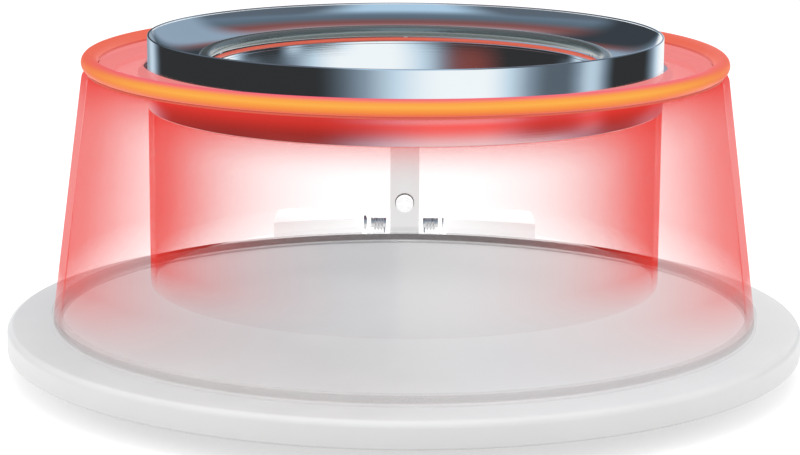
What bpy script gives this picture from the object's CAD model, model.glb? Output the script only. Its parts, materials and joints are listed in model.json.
"""Electric pizza maker: finishes, modelled glass and metal, and a small studio.

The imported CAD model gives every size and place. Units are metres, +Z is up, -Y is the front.
"""

import json
import logging
import math
from dataclasses import dataclass, field
from enum import Enum
from typing import Any, Sequence, Union

import bmesh
import bpy
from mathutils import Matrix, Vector

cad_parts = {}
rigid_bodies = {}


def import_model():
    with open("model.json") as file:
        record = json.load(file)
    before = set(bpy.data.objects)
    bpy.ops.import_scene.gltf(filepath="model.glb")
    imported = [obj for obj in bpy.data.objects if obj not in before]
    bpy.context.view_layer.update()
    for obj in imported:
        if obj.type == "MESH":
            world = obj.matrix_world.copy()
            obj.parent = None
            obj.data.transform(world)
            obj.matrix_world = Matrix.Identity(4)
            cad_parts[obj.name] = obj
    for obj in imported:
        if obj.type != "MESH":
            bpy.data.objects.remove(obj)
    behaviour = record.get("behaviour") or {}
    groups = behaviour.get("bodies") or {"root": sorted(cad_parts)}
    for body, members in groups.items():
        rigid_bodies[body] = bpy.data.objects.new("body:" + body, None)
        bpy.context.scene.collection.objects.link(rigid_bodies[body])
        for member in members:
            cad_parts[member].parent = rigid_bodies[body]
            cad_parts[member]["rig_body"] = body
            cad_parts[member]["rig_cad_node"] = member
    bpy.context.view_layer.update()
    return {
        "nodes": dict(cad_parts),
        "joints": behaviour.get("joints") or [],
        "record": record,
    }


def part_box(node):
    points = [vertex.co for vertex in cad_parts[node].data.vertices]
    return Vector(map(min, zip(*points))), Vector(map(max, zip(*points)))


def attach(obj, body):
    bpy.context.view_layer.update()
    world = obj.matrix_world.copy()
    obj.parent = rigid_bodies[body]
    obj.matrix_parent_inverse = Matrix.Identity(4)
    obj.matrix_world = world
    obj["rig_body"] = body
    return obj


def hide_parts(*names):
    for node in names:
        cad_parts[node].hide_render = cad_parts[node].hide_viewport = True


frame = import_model()

log = logging.getLogger("pizza_maker")

Colour = tuple[float, float, float]
Point = tuple[float, float]
Socket = bpy.types.NodeSocket
Source = Union[Socket, float]

MM = 0.001


# ------------------------------------------------------------------ node trees


class NodeTree:
    """A shader tree or shader group with short calls that add nodes and join sockets."""

    def __init__(self, tree: bpy.types.NodeTree) -> None:
        """Wraps a tree.

        Args:
            tree: the tree of a material, a world or a group.
        """
        self.tree = tree

    def add(self, kind: str, **settings: Any) -> bpy.types.Node:
        """Adds a node.

        Args:
            kind: the node's type name, such as "ShaderNodeMath".
            **settings: properties of the node to set.

        Returns:
            The new node.
        """
        node = self.tree.nodes.new(kind)
        for name, value in settings.items():
            setattr(node, name, value)
        return node

    def feed(self, socket: Socket, source: Union[Source, Sequence[float]]) -> None:
        """Joins a source to a socket, or sets the socket when the source is a plain value."""
        if isinstance(source, bpy.types.NodeSocket):
            self.tree.links.new(source, socket)
        else:
            socket.default_value = source

    def math(self, operation: str, a: Source, b: Source = 0.0, clamp: bool = False) -> Socket:
        """Adds a Math node.

        Args:
            operation: the node's operation.
            a: first value.
            b: second value, where the operation takes one.
            clamp: whether the result is held between 0 and 1.

        Returns:
            The node's output.
        """
        node = self.add("ShaderNodeMath", operation=operation, use_clamp=clamp)
        self.feed(node.inputs[0], a)
        self.feed(node.inputs[1], b)
        return node.outputs[0]

    def span(self, value: Source, start: float, stop: float, low: float = 0.0,
             high: float = 1.0, smooth: bool = True) -> Socket:
        """Maps a value from one range to another.

        Args:
            value: the value to map.
            start: the value that gives low.
            stop: the value that gives high.
            low: the result at start.
            high: the result at stop.
            smooth: whether the ends are eased.

        Returns:
            The mapped value.
        """
        node = self.add("ShaderNodeMapRange",
                        interpolation_type="SMOOTHSTEP" if smooth else "LINEAR")
        for name, number in (("From Min", start), ("From Max", stop),
                             ("To Min", low), ("To Max", high)):
            node.inputs[name].default_value = number
        self.feed(node.inputs["Value"], value)
        return node.outputs["Result"]

    def mix(self, factor: Source, a: Union[Socket, Colour], b: Union[Socket, Colour]) -> Socket:
        """Mixes two colours and returns the result's socket."""
        node = self.add("ShaderNodeMix", data_type="RGBA")
        self.feed(node.inputs["Factor"], factor)
        for socket, value in ((node.inputs[6], a), (node.inputs[7], b)):
            self.feed(socket, value if isinstance(value, bpy.types.NodeSocket) else (*value, 1.0))
        return node.outputs[2]

    def ramp(self, factor: Source, stops: Sequence[tuple[float, Colour]]) -> Socket:
        """Adds a colour ramp.

        Args:
            factor: what runs along the ramp.
            stops: places from 0 to 1 with their colours.

        Returns:
            The colour's socket.
        """
        node = self.add("ShaderNodeValToRGB")
        elements = node.color_ramp.elements
        while len(elements) < len(stops):
            elements.new(0.5)
        for element, (place, colour) in zip(elements, stops):
            element.position = place
            element.color = (*colour, 1.0)
        self.feed(node.inputs[0], factor)
        return node.outputs["Color"]

    def place(self) -> Socket:
        """Returns the Object coordinates, which are the row frame on every piece here."""
        return self.add("ShaderNodeTexCoord").outputs["Object"]

    def split(self, vector: Socket) -> tuple[Socket, Socket, Socket]:
        """Splits a vector into its three values."""
        node = self.add("ShaderNodeSeparateXYZ")
        self.feed(node.inputs[0], vector)
        return node.outputs[0], node.outputs[1], node.outputs[2]

    def noise(self, vector: Socket, scale: Source, detail: float = 3.0) -> Socket:
        """Adds a noise texture and returns its value."""
        node = self.add("ShaderNodeTexNoise")
        node.inputs["Detail"].default_value = detail
        self.feed(node.inputs["Vector"], vector)
        self.feed(node.inputs["Scale"], scale)
        return node.outputs[0]

    def for_camera(self, value: Source) -> Socket:
        """Keeps a value for camera rays and makes it 0 for light, shadows and mirror images."""
        seen = self.add("ShaderNodeLightPath").outputs["Is Camera Ray"]
        return self.math("MULTIPLY", value, seen)

    def reach(self, x: Socket, y: Socket) -> Socket:
        """Returns the distance from the Z axis."""
        return self.math("SQRT", self.math("ADD", self.math("MULTIPLY", x, x),
                                           self.math("MULTIPLY", y, y)))


class Effects:
    """Shader groups that several finishes share, each built once."""

    _built: dict[str, bpy.types.NodeTree] = {}

    @classmethod
    def _group(cls, name: str, inputs: dict[str, float],
               outputs: Sequence[str]) -> tuple[NodeTree, bpy.types.Node, bpy.types.Node]:
        """Makes an empty group with named number sockets.

        Args:
            name: the group's name.
            inputs: input names with their defaults.
            outputs: output names.

        Returns:
            The wrapped tree, its input node and its output node.
        """
        tree = bpy.data.node_groups.new(name, "ShaderNodeTree")
        for label, default in inputs.items():
            socket = tree.interface.new_socket(label, in_out="INPUT", socket_type="NodeSocketFloat")
            socket.default_value = default
        for label in outputs:
            tree.interface.new_socket(label, in_out="OUTPUT", socket_type="NodeSocketFloat")
        cls._built[name] = tree
        wrapped = NodeTree(tree)
        return wrapped, wrapped.add("NodeGroupInput"), wrapped.add("NodeGroupOutput")

    @classmethod
    def grain(cls) -> bpy.types.NodeTree:
        """The fine grain of moulded, cast, glazed and fibrous surfaces: a height and a mottle."""
        if "fine_grain" not in cls._built:
            tree, given, result = cls._group("fine_grain", {"Scale": 900.0, "Patch": 40.0},
                                             ("Height", "Mottle"))
            place = tree.place()
            tree.feed(result.inputs["Height"], tree.noise(place, given.outputs["Scale"]))
            tree.feed(result.inputs["Mottle"], tree.noise(place, given.outputs["Patch"], 4.0))
        return cls._built["fine_grain"]

    @classmethod
    def turning(cls) -> bpy.types.NodeTree:
        """Fine rings left by turning and polishing about the Z axis, with faint smears."""
        if "turning_marks" not in cls._built:
            tree, given, result = cls._group("turning_marks", {"Pitch": 2600.0, "Patch": 30.0},
                                             ("Height", "Mottle"))
            x, y, z = tree.split(tree.place())
            reach = tree.reach(x, y)
            line = tree.add("ShaderNodeCombineXYZ")
            tree.feed(line.inputs[0], tree.math("ADD", reach, tree.math("MULTIPLY", z, 1.7)))
            tree.feed(line.inputs[1], tree.math("MULTIPLY", x, 0.004))
            tree.feed(line.inputs[2], tree.math("MULTIPLY", y, 0.004))
            tree.feed(result.inputs["Height"],
                      tree.noise(line.outputs[0], given.outputs["Pitch"], 2.0))
            tree.feed(result.inputs["Mottle"],
                      tree.noise(tree.place(), given.outputs["Patch"], 4.0))
        return cls._built["turning_marks"]

    @classmethod
    def brushing(cls) -> bpy.types.NodeTree:
        """Straight hairline brushing along X, as on rolled and plated sheet."""
        if "hairlines" not in cls._built:
            tree, given, result = cls._group("hairlines", {"Pitch": 1800.0, "Patch": 60.0},
                                             ("Height", "Mottle"))
            x, y, z = tree.split(tree.place())
            line = tree.add("ShaderNodeCombineXYZ")
            tree.feed(line.inputs[0], tree.math("MULTIPLY", x, 0.03))
            tree.feed(line.inputs[1], y)
            tree.feed(line.inputs[2], z)
            tree.feed(result.inputs["Height"],
                      tree.noise(line.outputs[0], given.outputs["Pitch"], 2.0))
            tree.feed(result.inputs["Mottle"],
                      tree.noise(tree.place(), given.outputs["Patch"], 4.0))
        return cls._built["hairlines"]

    @classmethod
    def tint_fall(cls) -> bpy.types.NodeTree:
        """The heat tint that is dense at a height on the glass and fades to nothing below it, and
        the share of all tint that is left towards the glass's foot."""
        if "tint_fall" not in cls._built:
            tree, given, result = cls._group(
                "tint_fall", {"Top": 0.127, "Fade": 0.025, "Density": 0.8, "Foot": 0.02,
                              "Rise": 0.02}, ("Tint", "Foot"))
            _, _, z = tree.split(tree.place())
            risen = tree.math("DIVIDE", tree.math("SUBTRACT", z, given.outputs["Foot"]),
                              given.outputs["Rise"], clamp=True)
            tree.feed(result.inputs["Foot"], risen)
            drop = tree.math("DIVIDE", tree.math("SUBTRACT", given.outputs["Top"], z),
                             given.outputs["Fade"])
            left = tree.math("SUBTRACT", 1.0, drop, clamp=True)
            squared = tree.math("MULTIPLY", left, left)
            tree.feed(result.inputs["Tint"],
                      tree.math("MULTIPLY", squared, given.outputs["Density"]))
        return cls._built["tint_fall"]

    @classmethod
    def ring_place(cls) -> bpy.types.NodeTree:
        """Where a point is on a ring tube: Turn is 0 below, 0.5 at the outside and 1 above, and
        Front is 1 at the front of the ring and 0 at its rear."""
        if "ring_place" not in cls._built:
            tree, given, result = cls._group("ring_place", {"Ring": 0.13, "Height": 0.13},
                                             ("Turn", "Front"))
            x, y, z = tree.split(tree.place())
            reach = tree.reach(x, y)
            turn = tree.math("ARCTAN2", tree.math("SUBTRACT", z, given.outputs["Height"]),
                             tree.math("SUBTRACT", reach, given.outputs["Ring"]))
            tree.feed(result.inputs["Turn"],
                      tree.math("ADD", tree.math("DIVIDE", turn, math.pi), 0.5))
            front = tree.math("DIVIDE", tree.math("MULTIPLY", y, -1.0), reach)
            tree.feed(result.inputs["Front"],
                      tree.math("ADD", tree.math("MULTIPLY", front, 0.5), 0.5))
        return cls._built["ring_place"]


# ------------------------------------------------------------------ finishes

FILM_RED: Colour = (0.90, 0.050, 0.038)
FILM_PINK: Colour = (0.93, 0.285, 0.282)
FILM_BODY: Colour = (0.06, 0.004, 0.003)


class Texture(Enum):
    """The kind of surface texture that a finish has."""

    GRAIN = "grain"
    TURNING = "turning"
    BRUSHING = "brushing"


@dataclass(frozen=True)
class Finish:
    """An opaque finish: a colour with mottle, a roughness with variation, and a fine relief."""

    name: str
    colour: Colour
    roughness: float
    metallic: float = 0.0
    coat: float = 0.0
    texture: Texture = Texture.GRAIN
    scale: float = 900.0
    relief: float = 0.04
    mottle: float = 0.04
    gloss_change: float = 0.06
    specular: float = 0.5
    ember: float = 0.0
    seen_through: float = 0.0
    alpha: float = 1.0

    def material(self) -> bpy.types.Material:
        """Returns the finish's material, which is made the first time."""
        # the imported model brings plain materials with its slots' names, so these have their own
        label = self.name + "_finish"
        existing = bpy.data.materials.get(label)
        if existing:
            return existing
        material = bpy.data.materials.new(label)
        material.use_nodes = True
        # a glow shows on its own surface, but isn't mirrored as a lamp by the metal beside it
        material.cycles.emission_sampling = "NONE"
        tree = NodeTree(material.node_tree)
        tree.tree.nodes.clear()
        self.build(tree)
        return material

    def surface(self, tree: NodeTree) -> tuple[bpy.types.Node, Socket]:
        """Adds the shader with its colour, roughness and relief.

        Args:
            tree: the material's tree.

        Returns:
            The Principled node and the mottle that its colour uses.
        """
        shader = tree.add("ShaderNodeBsdfPrincipled")
        effect = tree.add("ShaderNodeGroup")
        effect.node_tree = {Texture.GRAIN: Effects.grain, Texture.TURNING: Effects.turning,
                            Texture.BRUSHING: Effects.brushing}[self.texture]()
        effect.inputs[0].default_value = self.scale
        mottle = effect.outputs["Mottle"]
        dark = tuple(c * (1.0 - self.mottle) for c in self.colour)
        light = tuple(min(1.0, c * (1.0 + self.mottle)) for c in self.colour)
        tree.feed(shader.inputs["Base Color"], tree.mix(tree.span(mottle, 0.3, 0.7), dark, light))
        tree.feed(shader.inputs["Roughness"],
                  tree.span(mottle, 0.25, 0.75, max(0.02, self.roughness - self.gloss_change),
                            self.roughness + self.gloss_change))
        shader.inputs["Metallic"].default_value = self.metallic
        shader.inputs["Coat Weight"].default_value = self.coat
        shader.inputs["Coat Roughness"].default_value = 0.06
        shader.inputs["Specular IOR Level"].default_value = self.specular
        if self.ember:
            shader.inputs["Emission Color"].default_value = (*self.colour, 1.0)
            shader.inputs["Emission Strength"].default_value = self.ember
        if self.seen_through:
            # behind several glass walls no light is left within Cycles' limit of transparent
            # bounces, so the piece glows there; the exported model doesn't carry this
            walls = tree.add("ShaderNodeLightPath").outputs["Transparent Depth"]
            tree.feed(shader.inputs["Emission Color"],
                      tree.mix(tree.span(walls, 3.0, 7.0), (0.0, 0.0, 0.0), self.colour))
            shader.inputs["Emission Strength"].default_value = self.seen_through
        if self.alpha < 1.0:
            tree.feed(shader.inputs["Alpha"], tree.for_camera(self.alpha))
        bump = tree.add("ShaderNodeBump")
        bump.inputs["Strength"].default_value = self.relief
        bump.inputs["Distance"].default_value = 0.0002
        tree.feed(bump.inputs["Height"], effect.outputs["Height"])
        tree.feed(shader.inputs["Normal"], bump.outputs["Normal"])
        return shader, mottle

    def build(self, tree: NodeTree) -> None:
        """Adds the finish's nodes to its material."""
        shader, _ = self.surface(tree)
        output = tree.add("ShaderNodeOutputMaterial")
        tree.feed(output.inputs["Surface"], shader.outputs[0])


@dataclass(frozen=True)
class HeatTintedGlass(Finish):
    """Clear glass with a red heat tint: dense near a height, and along the edges of its curve."""

    top: float = 0.127
    fade: float = 0.025
    density: float = 0.8
    clear_to: float = 0.05
    dense_from: float = 0.80
    edge: float = 0.57
    rim_from: float = 0.785
    rim: float = 0.80
    glow: float = 0.87
    film: Colour = FILM_RED
    foot: float = 0.022
    rise: float = 0.024
    rim_blend: float = 0.02
    least: float = 0.04
    least_by: float = 0.15

    def build(self, tree: NodeTree) -> None:
        """Adds the glass's nodes: one film per wall, so only the faces towards the eye carry it."""
        shader, _ = self.surface(tree)
        fall = tree.add("ShaderNodeGroup")
        fall.node_tree = Effects.tint_fall()
        for name, value in (("Top", self.top), ("Fade", self.fade), ("Density", self.density),
                            ("Foot", self.foot), ("Rise", self.rise)):
            fall.inputs[name].default_value = value
        facing = tree.add("ShaderNodeLayerWeight")
        facing.inputs["Blend"].default_value = 0.5
        turned = facing.outputs["Facing"]
        slope = tree.math("ADD", tree.span(turned, self.clear_to, self.dense_from, 0.0, self.edge),
                          tree.span(turned, 0.0, self.least_by, 0.0, self.least))
        # past the inner face's own edge only the outer face is left to carry both walls' tint
        place = tree.add("ShaderNodeTexCoord")
        x, y, _ = tree.split(place.outputs["Object"])
        normal_x, normal_y, _ = tree.split(place.outputs["Normal"])
        outward = tree.math("ADD", tree.math("MULTIPLY", x, normal_x),
                            tree.math("MULTIPLY", y, normal_y))
        last = tree.math("MULTIPLY", tree.span(outward, 0.0, 0.001),
                         tree.span(turned, self.rim_from, self.rim_from + self.rim_blend,
                                   0.0, self.rim))
        edge = tree.math("MAXIMUM", slope, last)
        clear = tree.math("MULTIPLY", tree.math("SUBTRACT", 1.0, fall.outputs["Tint"]),
                          tree.math("SUBTRACT", 1.0, edge))
        tint = tree.math("SUBTRACT", 1.0, clear)
        # the inside of each wall stays clear, and the film tints no light on what it covers
        back = tree.add("ShaderNodeNewGeometry").outputs["Backfacing"]
        shown = tree.math("MULTIPLY", tree.math("SUBTRACT", 1.0, back), fall.outputs["Foot"])
        tree.feed(shader.inputs["Alpha"], tree.for_camera(tree.math("MULTIPLY", tint, shown)))
        shader.inputs["Emission Color"].default_value = (*self.film, 1.0)
        shader.inputs["Emission Strength"].default_value = self.glow
        shader.inputs["Specular IOR Level"].default_value = 0.0
        output = tree.add("ShaderNodeOutputMaterial")
        tree.feed(output.inputs["Surface"], shader.outputs[0])


@dataclass(frozen=True)
class HeatTintedChrome(Finish):
    """Polished chrome that heat has coloured red on its part inside the hood."""

    foot: float = 0.1125
    tint_from: float = 0.1240
    tint_full: float = 0.1200
    foot_tint: float = 0.35
    tinted: Colour = (0.80, 0.19, 0.18)
    glow: float = 0.45

    def build(self, tree: NodeTree) -> None:
        """Adds the red tint and the faint glow below the flat glass ring."""
        shader, _ = self.surface(tree)
        _, _, height = tree.split(tree.place())
        inside = tree.span(height, self.tint_full, self.tint_from, 1.0, 0.0)
        tint = tree.math("MULTIPLY", inside,
                         tree.span(height, self.foot, self.tint_full, self.foot_tint, 1.0))
        plain = shader.inputs["Base Color"].links[0].from_socket
        tree.feed(shader.inputs["Base Color"], tree.mix(tint, plain, self.tinted))
        warmth = tree.math("MULTIPLY", inside,
                           tree.span(height, self.foot + 0.002, self.tint_from))
        tree.feed(shader.inputs["Emission Color"], tree.mix(warmth, (0.0, 0.0, 0.0), FILM_RED))
        shader.inputs["Emission Strength"].default_value = self.glow
        output = tree.add("ShaderNodeOutputMaterial")
        tree.feed(output.inputs["Surface"], shader.outputs[0])


@dataclass(frozen=True)
class GlowingSheath(Finish):
    """A heater tube that glows: yellow-orange along its outside, red and pink at its edges."""

    ring: float = 0.1326
    height: float = 0.1316
    strength: float = 1.0

    def build(self, tree: NodeTree) -> None:
        """Adds the glow over the sheath's own surface."""
        shader, _ = self.surface(tree)
        where = tree.add("ShaderNodeGroup")
        where.node_tree = Effects.ring_place()
        where.inputs["Ring"].default_value = self.ring
        where.inputs["Height"].default_value = self.height
        front = tree.ramp(where.outputs["Turn"], (
            (0.0, (0.72, 0.09, 0.06)), (0.20, (0.78, 0.14, 0.05)), (0.40, (0.88, 0.28, 0.04)),
            (0.56, (0.93, 0.43, 0.065)), (0.68, (0.90, 0.36, 0.055)), (0.84, (0.87, 0.17, 0.15)),
            (1.0, (0.82, 0.10, 0.19))))
        side = tree.ramp(where.outputs["Turn"], (
            (0.0, (0.66, 0.08, 0.06)), (0.35, (0.78, 0.12, 0.06)), (0.55, (0.84, 0.16, 0.06)),
            (0.75, (0.80, 0.12, 0.07)), (1.0, (0.80, 0.14, 0.09))))
        colour = tree.mix(tree.span(where.outputs["Front"], 0.55, 0.92), side, front)
        # the ring isn't mirrored in the polished shield
        mirrored = tree.add("ShaderNodeLightPath").outputs["Is Glossy Ray"]
        tree.feed(shader.inputs["Alpha"], tree.math("SUBTRACT", 1.0, mirrored))
        tree.feed(shader.inputs["Emission Color"], colour)
        shader.inputs["Emission Strength"].default_value = self.strength
        output = tree.add("ShaderNodeOutputMaterial")
        tree.feed(output.inputs["Surface"], shader.outputs[0])


@dataclass(frozen=True)
class Lens(Finish):
    """A small coloured lens that is lit from inside."""

    glow: float = 0.8

    def build(self, tree: NodeTree) -> None:
        """Adds the lit lens."""
        shader, _ = self.surface(tree)
        facing = tree.add("ShaderNodeLayerWeight")
        facing.inputs["Blend"].default_value = 0.35
        tree.feed(shader.inputs["Emission Color"],
                  tree.mix(facing.outputs["Facing"], (1.0, 0.45, 0.12), (0.55, 0.08, 0.02)))
        shader.inputs["Emission Strength"].default_value = self.glow
        output = tree.add("ShaderNodeOutputMaterial")
        tree.feed(output.inputs["Surface"], shader.outputs[0])


GLAZE = Finish("white_glaze", (0.82, 0.82, 0.82), 0.36, coat=0.15, scale=500.0, relief=0.02,
               mottle=0.012, gloss_change=0.04)
CHROME = Finish("polished_chrome", (0.86, 0.92, 0.95), 0.05, metallic=1.0, texture=Texture.TURNING,
                scale=2600.0, relief=0.012, mottle=0.01, gloss_change=0.02)
BAND_CHROME = HeatTintedChrome("heat_tinted_chrome", (0.86, 0.92, 0.95), 0.05, metallic=1.0,
                               texture=Texture.TURNING, scale=2600.0, relief=0.012, mottle=0.01,
                               gloss_change=0.02)
STEEL = Finish("plain_steel", (0.56, 0.57, 0.58), 0.32, metallic=1.0, texture=Texture.BRUSHING,
               relief=0.06)
ALUMINIUM = Finish("satin_aluminium", (0.74, 0.75, 0.76), 0.34, metallic=1.0,
                   texture=Texture.BRUSHING, relief=0.05)
BRASS = Finish("brass_turned", (0.72, 0.52, 0.22), 0.26, metallic=1.0, texture=Texture.BRUSHING)
COPPER = Finish("copper_sensor", (0.74, 0.38, 0.24), 0.30, metallic=1.0, texture=Texture.BRUSHING)
PAN_COAT = Finish("coated_pan", (0.60, 0.60, 0.61), 0.38, scale=1400.0, relief=0.08)
HINGE_COAT = Finish("white_hinge_coat", (0.80, 0.80, 0.80), 0.36, scale=1400.0, relief=0.04,
                    mottle=0.015, specular=0.3, seen_through=0.95)
CLEAR_SILICONE = Finish("clear_silicone", (0.84, 0.80, 0.80), 0.4, scale=1300.0, relief=0.05,
                        mottle=0.02, specular=0.4, alpha=0.22)
PINK_SILICONE = Finish("pink_silicone", (0.80, 0.30, 0.29), 0.5, scale=1300.0, relief=0.05,
                       mottle=0.02, specular=0.1, alpha=0.06)
HOT_SILICONE = Finish("hot_silicone", (0.66, 0.11, 0.065), 0.42, scale=1300.0, relief=0.06,
                      ember=0.25)
WHITE_PLASTIC = Finish("white_plastic", (0.76, 0.76, 0.76), 0.34, scale=2200.0, relief=0.07,
                       mottle=0.015, seen_through=0.9)
BLACK_PLASTIC = Finish("black_plastic", (0.022, 0.022, 0.024), 0.42, scale=2400.0, relief=0.14)
DIAL_PLASTIC = Finish("dial_plastic", (0.05, 0.05, 0.052), 0.36, scale=2400.0, relief=0.10)
GREY_RUBBER = Finish("grey_rubber", (0.07, 0.07, 0.072), 0.62, scale=1500.0, relief=0.16)
LEAD_SLEEVE = Finish("lead_sleeve", (0.42, 0.05, 0.04), 0.55, scale=3000.0, relief=0.3)
CERAMIC = Finish("white_ceramic", (0.82, 0.79, 0.72), 0.45, scale=1600.0, relief=0.08)
FIBRE = Finish("fibre_pad", (0.78, 0.75, 0.66), 0.9, scale=1100.0, relief=0.5, mottle=0.08)
SHEATH = Finish("heater_sheath", (0.22, 0.26, 0.26), 0.24, metallic=0.7, scale=1800.0, relief=0.015,
                mottle=0.02, gloss_change=0.01)
MARKING = Finish("pale_marking", (0.80, 0.80, 0.78), 0.45, relief=0.02)
AMBER = Lens("amber_lens", (0.90, 0.25, 0.05), 0.12, relief=0.0)


# ------------------------------------------------------------------ modelling


def deselect() -> None:
    """Leaves edit mode and deselects every object."""
    if bpy.context.object and bpy.context.object.mode != "OBJECT":
        bpy.ops.object.mode_set(mode="OBJECT")
    bpy.ops.object.select_all(action="DESELECT")


def arc(centre: Point, radius: float, start: float, stop: float, steps: int) -> list[Point]:
    """Gives the points of a round corner of an outline.

    Args:
        centre: the corner's centre as distance from the axis and height.
        radius: the corner's radius.
        start: the first point's angle in degrees, 0 outwards and 90 upwards.
        stop: the last point's angle in degrees.
        steps: how many steps it takes.

    Returns:
        The points in order.
    """
    angles = (math.radians(start + (stop - start) * i / steps) for i in range(steps + 1))
    return [(centre[0] + radius * math.cos(a), centre[1] + radius * math.sin(a)) for a in angles]


def turn_outline(name: str, outline: Sequence[Point], steps: int = 288,
                 sweep: float = 360.0, start: float = 0.0) -> bpy.types.Object:
    """Draws a closed outline by extruding one point along it, and spins it round the Z axis.

    Args:
        name: the new piece's name.
        outline: points as distance from the axis and height.
        steps: how many steps the spin takes.
        sweep: how far it spins in degrees.
        start: where it starts, in degrees from +X towards +Y.

    Returns:
        The closed, smooth-shaded piece.
    """
    deselect()
    bpy.ops.mesh.primitive_plane_add(size=MM, location=(0.0, 0.0, 0.0))
    piece = bpy.context.object
    piece.name = piece.data.name = name
    bpy.ops.object.mode_set(mode="EDIT")
    bpy.ops.mesh.select_all(action="SELECT")
    bpy.ops.mesh.merge(type="CENTER")
    bpy.ops.mesh.select_mode(type="VERT")
    bpy.ops.mesh.select_all(action="SELECT")
    turned = Vector((math.cos(math.radians(start)), math.sin(math.radians(start)), 0.0))
    places = [turned * reach + Vector((0.0, 0.0, height)) for reach, height in outline]
    bpy.ops.transform.translate(value=places[0])
    for here, there in zip(places, places[1:] + places[:1]):
        bpy.ops.mesh.extrude_vertices_move(TRANSFORM_OT_translate={"value": there - here})
    bpy.ops.mesh.select_all(action="SELECT")
    bpy.ops.mesh.remove_doubles(threshold=1e-6)
    bpy.ops.mesh.select_all(action="SELECT")
    bpy.ops.mesh.spin(steps=steps, angle=math.radians(sweep), center=(0.0, 0.0, 0.0),
                      axis=(0.0, 0.0, 1.0))
    bpy.ops.mesh.select_all(action="SELECT")
    bpy.ops.mesh.remove_doubles(threshold=1e-6)
    if sweep < 360.0:
        bpy.ops.mesh.select_all(action="DESELECT")
        bpy.ops.mesh.select_non_manifold(extend=False)
        bpy.ops.mesh.edge_face_add()
    bpy.ops.mesh.select_all(action="SELECT")
    bpy.ops.mesh.normals_make_consistent(inside=False)
    return smooth(piece)


def smooth(piece: bpy.types.Object, degrees: float = 32.0) -> bpy.types.Object:
    """Shades a piece smooth, with sharp edges where its faces meet at more than an angle."""
    deselect()
    piece.select_set(True)
    bpy.context.view_layer.objects.active = piece
    bpy.ops.object.shade_smooth_by_angle(angle=math.radians(degrees))
    return piece


def ring_bead(name: str, reach: float, height: float, thick: float) -> bpy.types.Object:
    """Adds a round bead as a closed ring about the Z axis."""
    deselect()
    bpy.ops.mesh.primitive_torus_add(major_radius=reach, minor_radius=thick, major_segments=288,
                                     minor_segments=20, location=(0.0, 0.0, height))
    piece = bpy.context.object
    piece.name = piece.data.name = name
    bpy.ops.object.transform_apply(location=True, rotation=True, scale=True)
    return smooth(piece, 80.0)


def apply_modifiers(piece: bpy.types.Object) -> None:
    """Applies every modifier of a piece, in order."""
    bpy.context.view_layer.objects.active = piece
    for modifier in list(piece.modifiers):
        bpy.ops.object.modifier_apply(modifier=modifier.name)


def join(name: str, pieces: Sequence[bpy.types.Object]) -> bpy.types.Object:
    """Joins pieces into one object with a new name."""
    deselect()
    for piece in pieces:
        piece.select_set(True)
    bpy.context.view_layer.objects.active = pieces[0]
    bpy.ops.object.join()
    bpy.context.object.name = bpy.context.object.data.name = name
    return bpy.context.object


def softened(node: str, width: float, segments: int = 3, limit: float = 38.0) -> bpy.types.Object:
    """Copies a moulded CAD node, merges its loose triangles and rounds its edges.

    Args:
        node: the CAD node to copy.
        width: how far the rounding reaches.
        segments: how many steps the rounding takes.
        limit: the least angle between faces, in degrees, that is rounded.

    Returns:
        The copy, which stands for the node.
    """
    deselect()
    source = frame["nodes"][node]
    copy = source.copy()
    copy.data = source.data.copy()
    copy.name = copy.data.name = node + "_piece"
    copy.parent = None
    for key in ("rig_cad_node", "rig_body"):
        if key in copy:
            del copy[key]
    bpy.context.scene.collection.objects.link(copy)
    copy.select_set(True)
    bpy.context.view_layer.objects.active = copy
    bpy.ops.object.mode_set(mode="EDIT")
    bpy.ops.mesh.select_all(action="SELECT")
    bpy.ops.mesh.remove_doubles(threshold=2e-6)
    bpy.ops.mesh.dissolve_limited(angle_limit=math.radians(1.5))
    bpy.ops.object.mode_set(mode="OBJECT")
    bevel = copy.modifiers.new("edges", "BEVEL")
    bevel.width = width
    bevel.segments = segments
    bevel.limit_method = "ANGLE"
    bevel.angle_limit = math.radians(limit)
    bevel.harden_normals = False
    apply_modifiers(copy)
    smooth(copy, limit)
    stand_for(copy, node)
    return copy


def stand_for(piece: bpy.types.Object, node: str, *more: str) -> None:
    """Makes a piece ride and stand for a CAD node, with that node's material slot.

    Args:
        piece: the modelled piece.
        node: the node whose body and slot it takes.
        *more: further nodes of the same body that it stands for too.
    """
    bodies = frame["record"]["behaviour"]["bodies"]
    body = next(name for name, members in bodies.items() if node in members)
    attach(piece, body)
    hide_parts(node, *more)


def dress(piece: bpy.types.Object, finish: Finish) -> None:
    """Gives a piece its one finish, and keeps it out of the polished metal's reflections, which
    show the studio alone."""
    piece.data.materials.clear()
    piece.data.materials.append(finish.material())
    piece.visible_glossy = False


# ------------------------------------------------------------------ sub-assemblies


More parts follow.
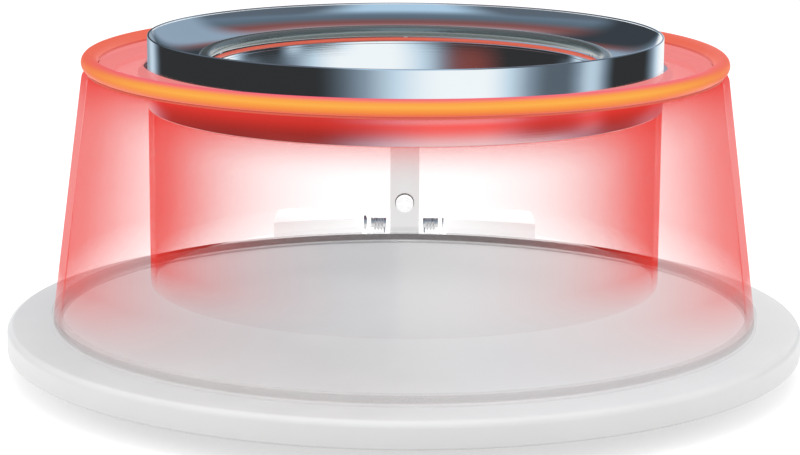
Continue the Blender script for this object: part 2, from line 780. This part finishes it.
@dataclass
class Deck:
    """The white glazed deck that the food lies on."""

    edge: float = 3.0 * MM
    under_edge: float = 1.0 * MM
    recess: float = 128.0 * MM
    recess_depth: float = 4.0 * MM

    def build(self) -> bpy.types.Object:
        """Models the deck from a disc with rounded rims and a recess below.

        Returns:
            The deck piece.
        """
        low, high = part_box("deck_stone")
        reach = high[0]
        deselect()
        bpy.ops.mesh.primitive_cylinder_add(vertices=288, radius=reach, depth=high[2] - low[2],
                                            location=(0.0, 0.0, (high[2] + low[2]) / 2))
        piece = bpy.context.object
        piece.name = piece.data.name = "deck_stone_piece"
        bpy.ops.object.transform_apply(location=True, rotation=True, scale=True)
        self._round_rim(piece, high[2], self.edge, 10)
        self._round_rim(piece, low[2], self.under_edge, 4)
        self._sink_recess(piece, reach)
        smooth(piece)
        dress(piece, GLAZE)
        stand_for(piece, "deck_stone")
        return piece

    @staticmethod
    def _round_rim(piece: bpy.types.Object, height: float, radius: float, segments: int) -> None:
        """Rounds the rim of the disc at a height."""
        bpy.ops.object.mode_set(mode="EDIT")
        bpy.ops.mesh.select_mode(type="EDGE")
        mesh = bmesh.from_edit_mesh(piece.data)
        for item in (*mesh.faces, *mesh.edges, *mesh.verts):
            item.select = False
        for edge in mesh.edges:
            edge.select = all(abs(v.co.z - height) < 1e-6 for v in edge.verts)
        bmesh.update_edit_mesh(piece.data)
        bpy.ops.mesh.bevel(offset=radius, segments=segments, affect="EDGES", clamp_overlap=False)
        bpy.ops.object.mode_set(mode="OBJECT")

    def _sink_recess(self, piece: bpy.types.Object, reach: float) -> None:
        """Sinks the heater recess into the underside."""
        bpy.ops.object.mode_set(mode="EDIT")
        bpy.ops.mesh.select_mode(type="FACE")
        mesh = bmesh.from_edit_mesh(piece.data)
        for item in (*mesh.verts, *mesh.edges, *mesh.faces):
            item.select = False
        under = min(mesh.faces, key=lambda face: (face.calc_center_median().z, -face.calc_area()))
        under.select = True
        bmesh.update_edit_mesh(piece.data)
        bpy.ops.mesh.inset(thickness=reach - self.under_edge - self.recess)
        bpy.ops.mesh.extrude_region_move(
            TRANSFORM_OT_translate={"value": (0.0, 0.0, self.recess_depth)})
        bpy.ops.object.mode_set(mode="OBJECT")


@dataclass
class GlassHood:
    """The flared hood, the flat glass ring on its top and the sleeve inside it."""

    wall: float = 3.0 * MM
    lip: float = 13.0 * MM
    shoulder: float = 3.0 * MM
    rim_round: float = 1.2 * MM
    sleeve_wall: float = 2.2 * MM
    sleeve_neck: float = 6.6 * MM
    sleeve_step: float = 1.1 * MM
    screw_hole: float = 3.0 * MM
    hood_tint: HeatTintedGlass = field(default_factory=lambda: HeatTintedGlass(
        "hood_tinted_glass", FILM_BODY, 0.06, relief=0.0, mottle=0.0, gloss_change=0.0,
        top=0.1275, fade=0.0225, density=0.69))
    top_tint: HeatTintedGlass = field(default_factory=lambda: HeatTintedGlass(
        "top_tinted_glass", FILM_BODY, 0.06, relief=0.0, mottle=0.0, gloss_change=0.0,
        top=0.132, fade=0.02, density=0.80, edge=0.50, dense_from=0.9, rim=0.3, glow=0.92,
        film=FILM_PINK))
    sleeve_tint: HeatTintedGlass = field(default_factory=lambda: HeatTintedGlass(
        "sleeve_tinted_glass", FILM_BODY, 0.06, relief=0.0, mottle=0.0, gloss_change=0.0,
        top=0.1126, fade=0.017, density=0.40, foot=0.036, rise=0.014))

    def build(self) -> None:
        """Models the three glass pieces."""
        self._hood()
        self._top_ring()
        self._sleeve()

    def _hood(self) -> None:
        """Turns the flared hood with its flange in one blow, and drills its two screw holes."""
        low, wall_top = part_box("hood_glass")
        flange_low, flange_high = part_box("hood_flange")
        foot, height = wall_top[0], flange_high[2]
        lean = (foot - flange_high[0]) / (flange_low[2] - low[2])
        top = foot - lean * (height - low[2])
        slope = math.degrees(math.atan(lean))
        small, round_ = self.rim_round, self.shoulder
        inner_top = height - self.wall
        inside = foot - self.wall - lean * (inner_top - low[2])
        outline = (
            arc((foot - small, low[2] + small), small, -90.0, slope, 4)
            + arc((top - round_, height - round_), round_, slope, 90.0, 8)
            + arc((top - self.lip + small, height - small), small, 90.0, 180.0, 4)
            + arc((top - self.lip + small, inner_top + small), small, 180.0, 270.0, 4)
            + arc((inside - 2 * MM, inner_top - 2 * MM), 2 * MM, 90.0, slope, 5)
            + arc((foot - self.wall + small, low[2] + small), small, 180.0 + slope, 270.0, 4)
        )
        piece = turn_outline("hood_glass_piece", outline)
        self._drill(piece)
        dress(piece, self.hood_tint)
        stand_for(piece, "hood_glass", "hood_flange")

    def _drill(self, piece: bpy.types.Object) -> None:
        """Drills the holes that the arm's screws pass through."""
        low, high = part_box("arm_grommets")
        for height in (low[2] + 4.6 * MM, high[2] - 4.6 * MM):
            deselect()
            bpy.ops.mesh.primitive_cylinder_add(vertices=48, radius=self.screw_hole, depth=0.02,
                                                location=(0.0, (low[1] + high[1]) / 2, height),
                                                rotation=(math.radians(90.0), 0.0, 0.0))
            drill = bpy.context.object
            cut = piece.modifiers.new("hole", "BOOLEAN")
            cut.operation = "DIFFERENCE"
            cut.object = drill
            apply_modifiers(piece)
            bpy.data.objects.remove(drill)
        smooth(piece)

    def _top_ring(self) -> None:
        """Turns the flat ring of glass between the hood and the heat shield."""
        low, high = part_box("top_glass")
        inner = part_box("shield_band")[1][0] + 1.7 * MM
        small = self.rim_round
        outline = (
            arc((high[0] - small, low[2] + small), small, -90.0, 0.0, 4)
            + arc((high[0] - small, high[2] - small), small, 0.0, 90.0, 4)
            + arc((inner + small, high[2] - small), small, 90.0, 180.0, 4)
            + arc((inner + small, low[2] + small), small, 180.0, 270.0, 4)
        )
        piece = turn_outline("top_glass_piece", outline)
        dress(piece, self.top_tint)
        stand_for(piece, "top_glass")

    def _sleeve(self) -> None:
        """Turns the straight sleeve with its neck and the bead that the clips hold."""
        low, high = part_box("sleeve_glass")
        out, wall, small = high[0], self.sleeve_wall, 1.0 * MM
        neck_z, neck = high[2] - self.sleeve_neck, high[0] - self.sleeve_step
        bead = neck - wall - 1.3 * MM
        outline = (
            arc((out - small, low[2] + small), small, -90.0, 0.0, 4)
            + [(out, neck_z - 0.6 * MM)]
            + arc((out - 0.6 * MM, neck_z - 0.6 * MM), 0.6 * MM, 0.0, 90.0, 3)
            + [(neck, neck_z + 0.1 * MM), (neck, high[2]), (bead, high[2]),
               (bead, neck_z + 3.6 * MM), (neck - wall, neck_z + 2.6 * MM),
               (neck - wall, neck_z - 1.0 * MM), (out - wall, neck_z - 2.8 * MM)]
            + arc((out - wall + small, low[2] + small), small, 180.0, 270.0, 4)
        )
        piece = turn_outline("sleeve_glass_piece", outline)
        dress(piece, self.sleeve_tint)
        stand_for(piece, "sleeve_glass")


@dataclass
class HeatShield:
    """The polished band, the concave dish, the throat and their seals."""

    sheet: float = 0.8 * MM
    band_sheet: float = 1.0 * MM
    hem: float = 0.5 * MM
    hem_depth: float = 2.4 * MM
    edge: float = 0.2 * MM
    throat_reach: float = 82.0 * MM
    dish_shoulder: float = 1.4 * MM
    lip_reach: float = 82.05 * MM

    def build(self) -> None:
        """Models the shield's turned pieces."""
        self._band()
        self._dish()
        self._throat()
        self._seals()

    def _band(self) -> None:
        """Turns the outer band with its rolled rim."""
        low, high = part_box("shield_band")
        out, inside, hem = high[0], high[0] - self.band_sheet, self.hem
        edge = self.edge
        outline = (
            [(out - edge, low[2]), (out, low[2] + edge)]
            + [(out, low[2] + (high[2] - low[2]) * k / 4) for k in (1, 2, 3)]
            + arc((out - hem, high[2] - hem), hem, 0.0, 218.0, 14)
            + [(inside, high[2] - self.hem_depth), (inside, low[2] + edge),
               (inside + edge, low[2])]
        )
        piece = turn_outline("shield_band_piece", outline)
        dress(piece, BAND_CHROME)
        stand_for(piece, "shield_band")
        log.info("band %.1f mm across", out * 2000)

    def _dish(self) -> None:
        """Turns the concave dish between the band's rim and the inner heater."""
        low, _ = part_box("reflector_dish")
        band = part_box("shield_band")[1]
        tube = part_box("inner_element")[1]
        flat = tube[0] - 2.5 * MM + self.dish_shoulder
        lip = low[2] + self.sheet
        # the dish's edge tucks under the band's rolled rim, so no gap shows between them
        run = band[0] - self.band_sheet + 0.1 * MM - flat
        climb = band[2] - 1.6 * self.hem - lip
        bend = (run * run + climb * climb) / (2 * climb)
        last = math.degrees(math.asin(min(1.0, run / bend))) - 90.0
        upper = arc((flat, lip + bend), bend, -90.0, last, 26)
        lower = arc((flat, lip + bend), bend + self.sheet, last, -90.0, 26)
        outline = upper + lower + [(self.lip_reach, low[2]), (self.lip_reach, lip)]
        piece = turn_outline("reflector_dish_piece", outline)
        dress(piece, CHROME)
        stand_for(piece, "reflector_dish")
        log.info("dish bend %.1f mm", bend * 1000)

    def _throat(self) -> None:
        """Turns the throat's wall with the flange under the dish's lip."""
        low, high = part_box("throat_liner")
        inner, sheet, edge = self.throat_reach, self.sheet, self.edge
        outline = [(inner, low[2]), (inner + sheet, low[2]), (inner + sheet, high[2] - sheet),
                   (high[0], high[2] - sheet), (high[0], high[2]), (inner + edge, high[2]),
                   (inner, high[2] - edge)]
        piece = turn_outline("throat_liner_piece", outline)
        dress(piece, CHROME)
        stand_for(piece, "throat_liner")

    def _seals(self) -> None:
        """Adds the red bead under the inner heater."""
        low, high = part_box("lip_seal")
        thick = (high[2] - low[2]) / 2
        bead = ring_bead("lip_seal_piece", high[0] - thick, (high[2] + low[2]) / 2, thick)
        dress(bead, HOT_SILICONE)
        stand_for(bead, "lip_seal")


class End(Enum):
    """Which way the two ends of a ring heater leave the ring."""

    OUT = "out"
    DOWN = "down"


@dataclass
class RingHeater:
    """A sheathed heater bent into a ring, with a weld and a cold stub at each end."""

    node: str
    middle: float
    gap: float
    end: End
    stub: float
    finish: Finish
    weld: float = 0.3 * MM

    def build(self) -> bpy.types.Object:
        """Spins the tube and adds its ends.

        Returns:
            The heater piece.
        """
        low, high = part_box(self.node)
        side = max(high[0], -low[0])
        tube = self._tube()
        ring = side - tube
        height = high[2] - tube - (self.weld if self.end is End.OUT else self.weld)
        section = arc((ring, height), tube, 0.0, 360.0 - 360.0 / 28, 27)
        body = turn_outline(self.node + "_piece", section, steps=300, sweep=360.0 - 2 * self.gap,
                            start=self.middle + self.gap)
        parts = [body]
        for turned in (self.middle - self.gap, self.middle + self.gap):
            parts += self._end(ring, tube, height, math.radians(turned))
        piece = join(self.node + "_piece", parts)
        smooth(piece, 60.0)
        dress(piece, self.finish)
        stand_for(piece, self.node)
        return piece

    def _tube(self) -> float:
        """Gives the tube's radius: the outer heater's node is as high as its welded joints."""
        low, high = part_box(self.node)
        if self.end is End.OUT:
            return (high[2] - low[2]) / 2 - self.weld
        return 2.5 * MM

    def _end(self, ring: float, tube: float, height: float,
             turned: float) -> list[bpy.types.Object]:
        """Adds one end's weld bead, cold stub and pin."""
        at = Vector((ring * math.cos(turned), ring * math.sin(turned), height))
        way = (Vector((math.cos(turned), math.sin(turned), 0.0)) if self.end is End.OUT
               else Vector((0.0, 0.0, -1.0)))
        spin = way.to_track_quat("Z", "Y").to_euler()
        made = []
        deselect()
        bpy.ops.mesh.primitive_uv_sphere_add(segments=32, ring_count=20, radius=tube + self.weld,
                                             location=at)
        made.append(bpy.context.object)
        for radius, start, stop in ((tube - self.weld, 0.0, self.stub),
                                    (1.0 * MM, self.stub - MM, self.stub + 4 * MM)):
            middle = at + way * (start + stop) / 2
            bpy.ops.mesh.primitive_cylinder_add(vertices=32, radius=radius, depth=stop - start,
                                                location=middle, rotation=spin)
            made.append(bpy.context.object)
        for piece in made:
            deselect()
            piece.select_set(True)
            bpy.context.view_layer.objects.active = piece
            bpy.ops.object.transform_apply(location=True, rotation=True, scale=True)
        return made


@dataclass
class Controls:
    """The rear controls: the dial's scale, the rocker's signs and the soft-edged mouldings."""

    mark_depth: float = 0.25 * MM
    rocker_tilt: float = 8.0
    sign_along: float = 4.6 * MM
    rocker_rise: float = 3.6 * MM
    scale_marks: int = 10
    scale_start: float = 0.0
    scale_sweep: float = 270.0

    def build(self) -> None:
        """Softens the mouldings and adds the marks."""
        for node, width, finish in (
                ("rear_housing", 0.5 * MM, WHITE_PLASTIC), ("rear_cover", 0.5 * MM, WHITE_PLASTIC),
                ("power_inlet", 0.3 * MM, BLACK_PLASTIC),
                ("switch_frame", 0.35 * MM, BLACK_PLASTIC),
                ("switch_rocker", 0.4 * MM, DIAL_PLASTIC), ("heat_dial", 0.25 * MM, DIAL_PLASTIC)):
            dress(softened(node, width), finish)
            log.info("softened %s", node)
        self._scale()
        self._signs()

    def _mark(self, name: str, size: tuple[float, float, float], at: Vector,
              turned: float) -> bpy.types.Object:
        """Adds a small rounded mark on the rear face, turned about Y."""
        deselect()
        bpy.ops.mesh.primitive_cube_add(size=1.0, location=at, rotation=(0.0, turned, 0.0))
        mark = bpy.context.object
        mark.scale = size
        bpy.ops.object.transform_apply(location=True, rotation=True, scale=True)
        edge = mark.modifiers.new("edge", "BEVEL")
        edge.width = min(size) * 0.3
        edge.segments = 2
        apply_modifiers(mark)
        mark.name = mark.data.name = name
        return mark

    def _scale(self) -> None:
        """Rings the dial with ten bars that grow in height, as a plain heat scale."""
        low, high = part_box("heat_dial")
        centre = Vector(((low[0] + high[0]) / 2, 0.0, (low[2] + high[2]) / 2))
        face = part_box("rear_housing")[1][1]
        marks = []
        for i in range(self.scale_marks):
            share = i / (self.scale_marks - 1)
            # seen from the rear the dial turns clockwise, from straight up
            turned = math.radians(self.scale_start + self.scale_sweep * share)
            length = (1.0 + 1.2 * share) * MM
            reach = (high[0] - low[0]) / 2 + 1.0 * MM + length / 2
            if centre.z + reach * math.cos(turned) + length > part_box("rear_cover")[1][2] - 3.6 * MM:
                reach -= 0.2 * MM
            at = centre + Vector((-reach * math.sin(turned), face, reach * math.cos(turned)))
            marks.append(self._mark("bar", (0.6 * MM, self.mark_depth, length), at, -turned))
        piece = join("heat_scale_marks", marks)
        dress(piece, SCALE_INK)
        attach(piece, "base")

    def _signs(self) -> None:
        """Adds the rocker's plain signs: a bar for on and a ring for off."""
        joint = next(j for j in frame["joints"] if j["name"] == "power_switch")
        pivot = Vector(joint["pos_m"])
        tilt = math.radians(self.rocker_tilt)
        for name, side in (("on_sign", 1.0), ("off_sign", -1.0)):
            # each half of the rocker slopes up to its end, and the whole is tipped at rest
            slope = tilt * side - tilt
            up = self.rocker_rise + self.sign_along * math.tan(tilt)
            local = Vector((side * self.sign_along, up + 0.02 * MM, 0.0))
            at = pivot + Vector((local.x * math.cos(tilt) + local.y * math.sin(tilt),
                                 -local.x * math.sin(tilt) + local.y * math.cos(tilt), 0.0))
            deselect()
            if side > 0:
                bpy.ops.mesh.primitive_cube_add(size=1.0, location=at, rotation=(0.0, 0.0, slope))
                sign = bpy.context.object
                sign.scale = (0.7 * MM, self.mark_depth, 4.6 * MM)
            else:
                bpy.ops.mesh.primitive_torus_add(major_radius=1.9 * MM, minor_radius=0.32 * MM,
                                                 major_segments=40, minor_segments=10, location=at,
                                                 rotation=(math.radians(90.0), 0.0, slope))
                sign = bpy.context.object
            bpy.ops.object.transform_apply(location=True, rotation=True, scale=True)
            sign.name = sign.data.name = name
            smooth(sign)
            dress(sign, MARKING)
            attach(sign, "rocker")


SCALE_INK = Finish("scale_ink", (0.10, 0.10, 0.105), 0.5, relief=0.02)


@dataclass
class RearGear:
    """The hood's rear gear: terminal housing, handle and hinge arm, with soft edges."""

    softness: float = 0.6 * MM

    def build(self) -> None:
        """Softens the mouldings and castings."""
        for node, width, finish in (
                ("terminal_housing", self.softness, BLACK_PLASTIC),
                ("terminal_cover", 0.35 * MM, BLACK_PLASTIC),
                ("lift_handle", 1.6 * MM, BLACK_PLASTIC),
                ("hinge_arm", 0.4 * MM, HINGE_COAT), ("arm_cover", 0.25 * MM, HINGE_COAT)):
            dress(softened(node, width), finish)
            log.info("softened %s", node)


@dataclass
class PlainParts:
    """Every CAD node that keeps its own mesh and only gets a finish."""

    finishes: dict[str, Finish] = field(default_factory=lambda: {
        "deck_inserts": BRASS, "base_pan": PAN_COAT, "pan_screws": STEEL, "insulation_pad": FIBRE,
        "lower_element": SHEATH, "element_saddles": STEEL, "thermal_fuse": CERAMIC,
        "deck_sensor": COPPER, "rubber_feet": GREY_RUBBER, "foot_screws": STEEL,
        "cover_screws": STEEL, "hinge_bracket": HINGE_COAT, "bracket_screws": STEEL,
        "hinge_pin": STEEL, "hinge_springs": STEEL, "terminal_block": CERAMIC,
        "base_wiring": LEAD_SLEEVE, "inlet_pins": BRASS, "thermostat": ALUMINIUM,
        "pilot_lamp": AMBER, "foot_gasket": CLEAR_SILICONE, "rim_seal": HOT_SILICONE,
        "collar_seal": PINK_SILICONE, "retaining_ring": PINK_SILICONE, "clamp_ring": BAND_CHROME,
        "channel_cover": ALUMINIUM, "cover_rivets": ALUMINIUM, "sleeve_clips": STEEL,
        "inner_element_posts": STEEL, "element_bushings": CERAMIC, "band_bushings": CERAMIC,
        "terminal_screws": STEEL, "upper_cutout": ALUMINIUM, "hood_wiring": LEAD_SLEEVE,
        "handle_screws": STEEL, "arm_screws": HINGE_COAT, "arm_grommets": CLEAR_SILICONE,
    })

    def build(self) -> None:
        """Dresses each node."""
        for node, finish in self.finishes.items():
            dress(frame["nodes"][node], finish)


# ------------------------------------------------------------------ studio


@dataclass(frozen=True)
class Flag:
    """A dark flag beside the object that only polished metal sees.

    Its places are degrees round the object, to the right of the front.
    """

    start: float
    stop: float
    fade_in: float
    fade_out: float
    depth: float = 1.0

    def shade(self, tree: NodeTree, angle: Socket) -> Socket:
        """Gives how dark the flag is at an angle in degrees, from 0 to its depth."""
        rise = tree.span(angle, self.start - self.fade_in, self.start)
        fall = tree.span(angle, self.stop, self.stop + self.fade_out, 1.0, 0.0)
        return tree.math("MULTIPLY", tree.math("MULTIPLY", rise, fall), self.depth)


@dataclass
class Studio:
    """The camera, lamps, world, floor and the flags that metal reflects."""

    photo_width: float = 800.0
    focal_px: float = 2580.0
    sensor: float = 36.0
    distance: float = 1.080
    height: float = 0.2824
    pitch: float = 11.695
    roll: float = 0.35
    centre_px: float = 404.5
    band_flags: tuple[Flag, ...] = (
        Flag(-179.0, -150.0, 1.0, 20.0, 0.6), Flag(-123.0, -35.0, 20.0, 50.0),
        Flag(58.0, 64.0, 30.0, 22.0, 0.87), Flag(93.0, 116.0, 20.0, 27.0))
    throat_flags: tuple[Flag, ...] = (
        Flag(-110.0, -50.0, 40.0, 62.0), Flag(97.0, 100.0, 55.0, 50.0, 0.93),
        Flag(140.0, 180.0, 30.0, 1.0, 0.6))
    ember_flag: Flag = Flag(-45.0, -41.0, 28.0, 26.0, 0.85)
    ember: Colour = (0.26, 0.065, 0.055)
    flag_reach: float = 0.46
    wall_foot: tuple[float, float] = (0.050, 0.057)
    sky_from: tuple[float, float] = (0.30, 0.38)
    sky_patch: Colour = (0.47, 0.64, 0.80)
    sky_dark: Colour = (0.045, 0.052, 0.062)
    sky_light: Colour = (0.31, 0.39, 0.49)
    ambient: float = 0.80
    floor_side: float = 30.0
    floor_grey: float = 0.62
    floor_lift: float = 0.58
    lamp_aim: Vector = field(default_factory=lambda: Vector((0.0, 0.0, 0.07)))

    def build(self) -> None:
        """Sets up everything that isn't part of the object."""
        self._camera()
        self._world()
        self._floor()
        self._flag_dome()
        self._lamps()
        bpy.context.scene.view_settings.view_transform = "Standard"

    def _camera(self) -> None:
        """Places the camera in front of the object, as in the photo."""
        data = bpy.data.cameras.new("camera")
        data.sensor_width = self.sensor
        data.lens = self.focal_px * self.sensor / self.photo_width
        data.shift_x = -(self.centre_px - self.photo_width / 2) / self.photo_width
        data.clip_start = 0.01
        camera = bpy.data.objects.new("camera", data)
        camera.location = (0.0, -self.distance, self.height)
        # turned about its own axis first, and then tipped up from looking straight down
        camera.rotation_mode = "ZYX"
        camera.rotation_euler = (math.radians(90.0 - self.pitch), 0.0, math.radians(self.roll))
        bpy.context.scene.collection.objects.link(camera)
        bpy.context.scene.camera = camera

    @staticmethod
    def _seen(tree: NodeTree) -> Socket:
        """Gives 1 for the rays that see the background: camera, glossy and transmitted ones."""
        rays = tree.add("ShaderNodeLightPath")
        both = tree.math("MAXIMUM", rays.outputs["Is Camera Ray"], rays.outputs["Is Glossy Ray"])
        return tree.math("MAXIMUM", both, rays.outputs["Is Transmission Ray"])

    def _world(self) -> None:
        """Shows white behind the object and lights it at a plain level."""
        world = bpy.data.worlds.new("studio")
        bpy.context.scene.world = world
        world.use_nodes = True
        tree = NodeTree(world.node_tree)
        tree.tree.nodes.clear()
        light, white = tree.add("ShaderNodeBackground"), tree.add("ShaderNodeBackground")
        light.inputs["Color"].default_value = (1.0, 1.0, 1.0, 1.0)
        light.inputs["Strength"].default_value = self.ambient
        white.inputs["Color"].default_value = (1.0, 1.0, 1.0, 1.0)
        white.inputs["Strength"].default_value = 1.0
        mixed = tree.add("ShaderNodeMixShader")
        tree.feed(mixed.inputs[0], self._seen(tree))
        tree.feed(mixed.inputs[1], light.outputs[0])
        tree.feed(mixed.inputs[2], white.outputs[0])
        tree.feed(tree.add("ShaderNodeOutputWorld").inputs["Surface"], mixed.outputs[0])

    def _floor(self) -> None:
        """Lays a white floor that keeps the object's shadow."""
        deselect()
        bpy.ops.mesh.primitive_plane_add(size=self.floor_side, location=(0.0, 0.0, 0.0))
        floor = bpy.context.object
        floor.name = "floor"
        material = bpy.data.materials.new("white_floor")
        material.use_nodes = True
        tree = NodeTree(material.node_tree)
        tree.tree.nodes.clear()
        matt = tree.add("ShaderNodeBsdfDiffuse")
        matt.inputs["Color"].default_value = (*(self.floor_grey,) * 3, 1.0)
        lift = tree.add("ShaderNodeEmission")
        tree.feed(lift.inputs["Strength"], tree.math("MULTIPLY", self._seen(tree), self.floor_lift))
        both = tree.add("ShaderNodeAddShader")
        tree.feed(both.inputs[0], matt.outputs[0])
        tree.feed(both.inputs[1], lift.outputs[0])
        tree.feed(tree.add("ShaderNodeOutputMaterial").inputs["Surface"], both.outputs[0])
        floor.data.materials.append(material)

    def _flag_dome(self) -> None:
        """Stands the flags round the object, under a sky, as a dome for glossy rays alone."""
        deselect()
        bpy.ops.mesh.primitive_uv_sphere_add(segments=128, ring_count=64, radius=self.flag_reach,
                                             location=(0.0, 0.0, 0.0))
        wall = bpy.context.object
        wall.name = "flags"
        for ray in ("camera", "diffuse", "transmission", "volume_scatter", "shadow"):
            setattr(wall, "visible_" + ray, False)
        material = bpy.data.materials.new("flag_cloth")
        material.use_nodes = True
        tree = NodeTree(material.node_tree)
        tree.tree.nodes.clear()
        x, y, z = tree.split(tree.place())
        angle = tree.math("DEGREES", tree.math("ARCTAN2", x, tree.math("MULTIPLY", y, -1.0)))
        # the band mirrors the wall, and the throat, which lies lower, the foot of the wall
        low = tree.span(z, *self.wall_foot, 1.0, 0.0)
        high = tree.span(z, *(self.flag_reach * share for share in self.sky_from))
        foot = tree.mix(self.ember_flag.shade(tree, angle),
                        self._cloth(tree, self.throat_flags, angle), self.ember)
        colour = tree.mix(low, self._cloth(tree, self.band_flags, angle), foot)
        colour = tree.mix(high, colour, self._sky(tree, x, y))
        glow = tree.add("ShaderNodeEmission")
        tree.feed(glow.inputs["Color"], colour)
        tree.feed(tree.add("ShaderNodeOutputMaterial").inputs["Surface"], glow.outputs[0])
        material.cycles.emission_sampling = "NONE"
        wall.data.materials.append(material)

    @staticmethod
    def _cloth(tree: NodeTree, flags: Sequence[Flag], angle: Socket) -> Socket:
        """Gives the wall's colour at an angle: white, and bluish grey to black on the flags."""
        level: Source = 1.0
        for flag in flags:
            level = tree.math("MULTIPLY", level,
                              tree.math("SUBTRACT", 1.0, flag.shade(tree, angle)))
        return tree.ramp(level, ((0.0, (0.033, 0.033, 0.034)), (0.12, (0.10, 0.125, 0.15)),
                                 (0.35, (0.26, 0.32, 0.39)), (0.7, (0.62, 0.74, 0.84)),
                                 (1.0, (1.0, 1.0, 1.0))))

    def _sky(self, tree: NodeTree, x: Socket, y: Socket) -> Socket:
        """Gives the sky's colour, which the dish mirrors: a pale spot behind, in an ember ring, in
        blue grey, with a bright patch in front and a dark and a light side.

        Args:
            tree: the dome's tree.
            x: the place's distance to the right.
            y: the place's distance to the rear.

        Returns:
            The colour's socket.
        """
        across = tree.math("DIVIDE", x, self.flag_reach)
        behind = tree.math("DIVIDE", y, self.flag_reach)
        ring = tree.reach(tree.math("MULTIPLY", across, 1.1), tree.math("SUBTRACT", behind, 0.45))
        colour = tree.ramp(ring, (
            (0.0, (0.47, 0.44, 0.48)), (0.11, (0.47, 0.41, 0.46)), (0.18, (0.33, 0.15, 0.15)),
            (0.26, (0.25, 0.088, 0.082)), (0.34, (0.18, 0.12, 0.135)), (0.43, (0.12, 0.16, 0.20)),
            (0.54, (0.15, 0.20, 0.26)), (0.62, (0.12, 0.145, 0.18)), (1.0, (0.11, 0.13, 0.16))))
        front = tree.math("MULTIPLY", tree.span(ring, 0.50, 0.70),
                          tree.span(tree.math("ABSOLUTE", across), 0.16, 0.40, 1.0, 0.0))
        colour = tree.mix(front, colour, self.sky_patch)
        dark_side = tree.math("MULTIPLY", tree.span(behind, 0.40, 0.62),
                              tree.span(across, -0.10, 0.02, 1.0, 0.0))
        colour = tree.mix(dark_side, colour, self.sky_dark)
        light_side = tree.math("MULTIPLY", tree.span(behind, 0.45, 0.62),
                               tree.span(across, -0.02, 0.10))
        return tree.mix(light_side, colour, self.sky_light)

    def _lamps(self) -> None:
        """Hangs a large soft lamp overhead and one at each side."""
        self._lamp("top_lamp", (0.0, -0.2, 1.6), 1.6, 6.6)
        self._lamp("left_lamp", (-1.7, -0.5, 0.9), 1.2, 8.0)
        self._lamp("right_lamp", (1.7, -0.5, 0.9), 1.2, 6.0)

    def _lamp(self, name: str, at: tuple[float, float, float], size: float,
              power: float) -> None:
        """Adds a square area lamp that points at the object.

        Args:
            name: the lamp's name.
            at: its place.
            size: the side of its square.
            power: its power in watts.
        """
        data = bpy.data.lights.new(name, "AREA")
        data.size = size
        data.energy = power
        lamp = bpy.data.objects.new(name, data)
        lamp.visible_glossy = False
        lamp.location = at
        aim = self.lamp_aim - Vector(at)
        lamp.rotation_euler = aim.to_track_quat("-Z", "Y").to_euler()
        bpy.context.scene.collection.objects.link(lamp)


def main() -> None:
    """Builds the studio and each sub-assembly in order."""
    logging.basicConfig(level=logging.INFO, format="%(name)s: %(message)s")
    ring_low, ring_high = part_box("outer_element")
    tube = (ring_high[2] - ring_low[2]) / 2
    glowing = GlowingSheath("glowing_sheath", (0.06, 0.02, 0.01), 0.45, relief=0.05, specular=0.15,
                            ring=ring_high[0] - tube + 0.3 * MM,
                            height=(ring_high[2] + ring_low[2]) / 2)
    parts = (
        Studio(), Deck(), GlassHood(), HeatShield(),
        RingHeater("outer_element", 90.0, 6.0, End.OUT, 16.0 * MM, glowing),
        RingHeater("inner_element", 270.0, 8.0, End.DOWN, 6.9 * MM, SHEATH),
        Controls(), RearGear(), PlainParts(),
    )
    for part in parts:
        part.build()
        log.info("built %s", type(part).__name__)


if __name__ == "__main__":
    main()
